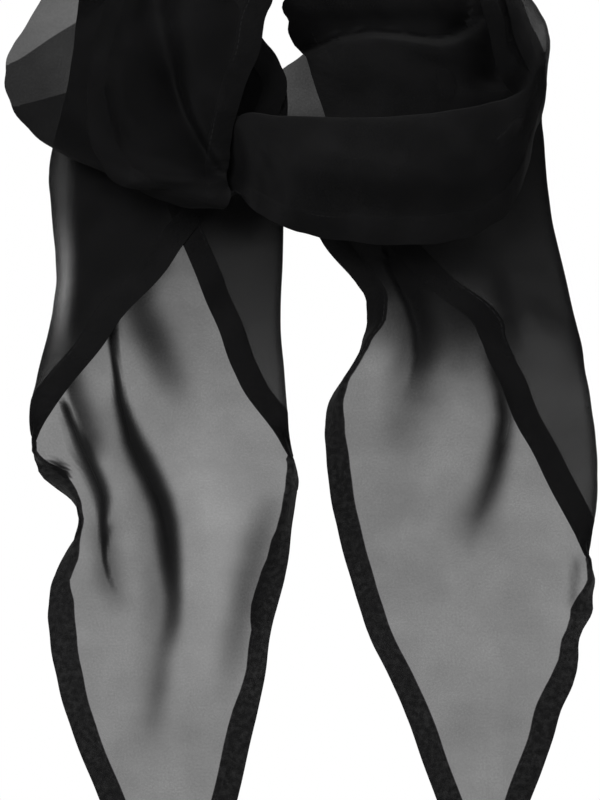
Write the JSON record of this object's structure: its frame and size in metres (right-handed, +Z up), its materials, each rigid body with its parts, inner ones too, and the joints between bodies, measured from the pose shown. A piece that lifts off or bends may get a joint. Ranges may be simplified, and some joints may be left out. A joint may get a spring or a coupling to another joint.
{
  "type": "chiffon scarf, worn, with no wearer",
  "caption": "Long pointed neck scarf of black chiffon, worn with a twisted cowl in front and both pointed ends hanging behind it.",
  "frame": {"origin": "the centre of the open neck, at the height of the bands behind it", "axes": "+Z up, the length of the hanging ends; the front of the scarf faces -Y; +X is to the right as seen from the front"},
  "size_m": [0.2384, 0.1746, 0.4858],
  "materials": {
    "chiffon": "sheer crepe chiffon, soft sheen, double-turned hems"
  },
  "bodies": {
    "root": {"left_tail": "chiffon", "right_tail": "chiffon", "cowl_left": "chiffon", "cowl_right": "chiffon", "nape_upper": "chiffon", "nape_lower": "chiffon"}
  },
  "joints": []
}
